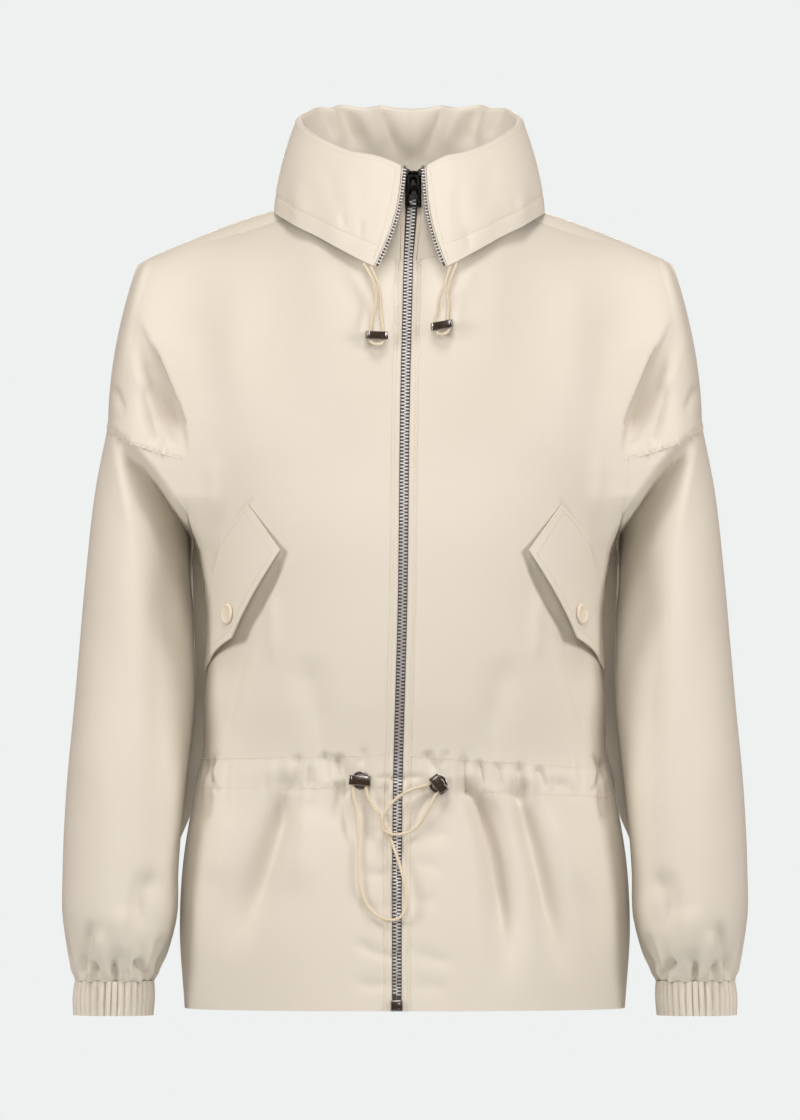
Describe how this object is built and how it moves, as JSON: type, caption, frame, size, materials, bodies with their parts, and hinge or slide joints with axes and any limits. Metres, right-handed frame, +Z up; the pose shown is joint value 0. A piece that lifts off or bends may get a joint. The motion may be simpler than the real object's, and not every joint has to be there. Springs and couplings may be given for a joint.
{
  "type": "short parka",
  "caption": "Short beige parka in its worn shape: turned-down drawstring collar, front zip, slanted flap pockets, drawn-in waist and gathered elastic cuffs.",
  "frame": {"origin": "middle of the neck at the height of the shoulder points, where a wearer's shoulders carry the coat", "axes": "+Z up, the front faces -Y, and the wearer's left is +X"},
  "size_m": [0.548, 0.2628, 0.7261],
  "materials": {
    "cloth": "smooth matt woven cloth",
    "tape": "woven zip tape",
    "cord": "twisted cream cord",
    "metal": "dark polished metal",
    "snap": "satin beige paint"
  },
  "bodies": {
    "coat": {"back": "cloth", "collar": "cloth", "front_left": "cloth", "front_right": "cloth", "sleeve_left": "cloth", "sleeve_right": "cloth", "cuff_left": "cloth", "cuff_right": "cloth", "pocket_flap_left": "cloth", "pocket_flap_right": "cloth", "zip_tape_left": "tape", "zip_tape_right": "tape", "collar_cord_left": "cord", "collar_cord_right": "cord", "waist_cord_left": "cord", "waist_cord_right": "cord", "zip_slider": "metal", "zip_box": "metal", "collar_stopper_left": "metal", "collar_stopper_right": "metal", "waist_stopper_left": "metal", "waist_stopper_right": "metal", "waist_eyelet_left": "metal", "waist_eyelet_right": "metal", "snap_left": "snap", "snap_right": "snap"},
    "pull": {"zip_pull": "metal"}
  },
  "joints": [
    {"name": "zip_pull_hinge", "type": "hinge", "parent": "coat", "child": "pull", "pos_m": [0.0066, -0.07744, 0.02949], "axis": [-1, 0, 0], "range_deg": [0, 135]}
  ]
}
